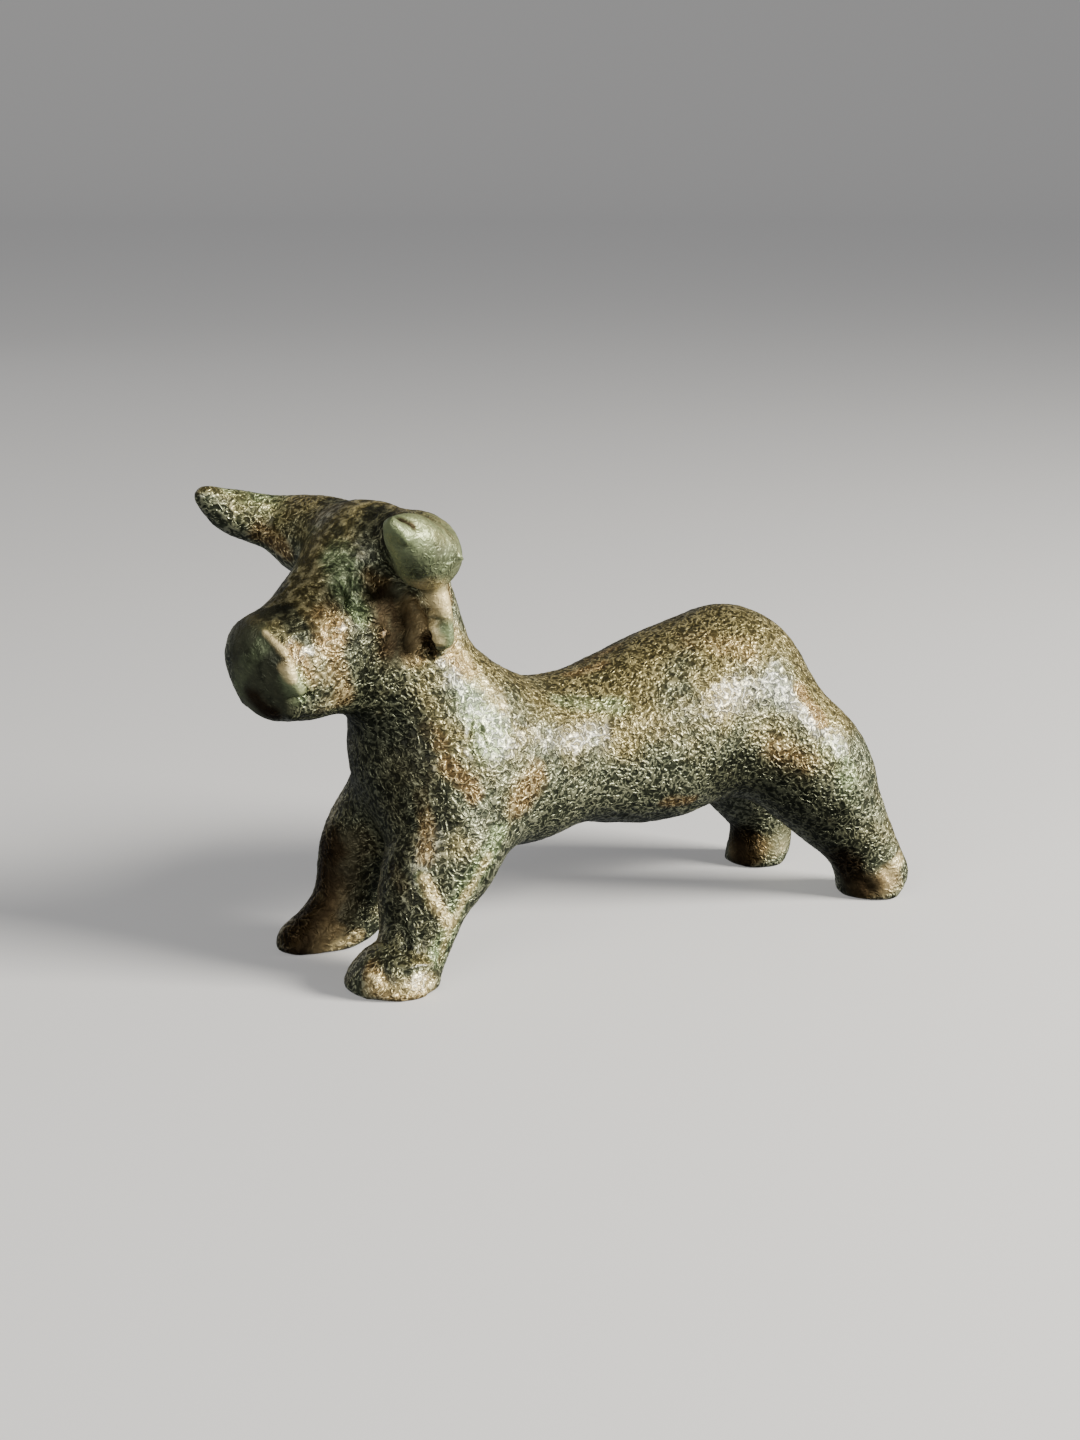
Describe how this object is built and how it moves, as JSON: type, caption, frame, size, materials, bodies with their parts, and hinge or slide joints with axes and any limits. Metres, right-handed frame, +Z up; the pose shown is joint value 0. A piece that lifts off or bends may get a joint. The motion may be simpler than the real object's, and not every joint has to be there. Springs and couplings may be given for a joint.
{
  "type": "bronze bovine figurine",
  "caption": "Small solid-cast standing bull with short forward horns, a blunt muzzle, a dipped back, a high rump and stubby splayed legs.",
  "frame": {"origin": "on the ground under the middle of the figure's bounding box", "axes": "+X towards the muzzle, +Y towards the animal's left side, +Z up"},
  "size_m": [0.063, 0.0244, 0.0388],
  "materials": {
    "patinated_bronze": "bronze with a worn, mottled grey-green and tan patina over darker metal"
  },
  "bodies": {
    "root": {"bull_figurine": "patinated_bronze"}
  },
  "joints": []
}
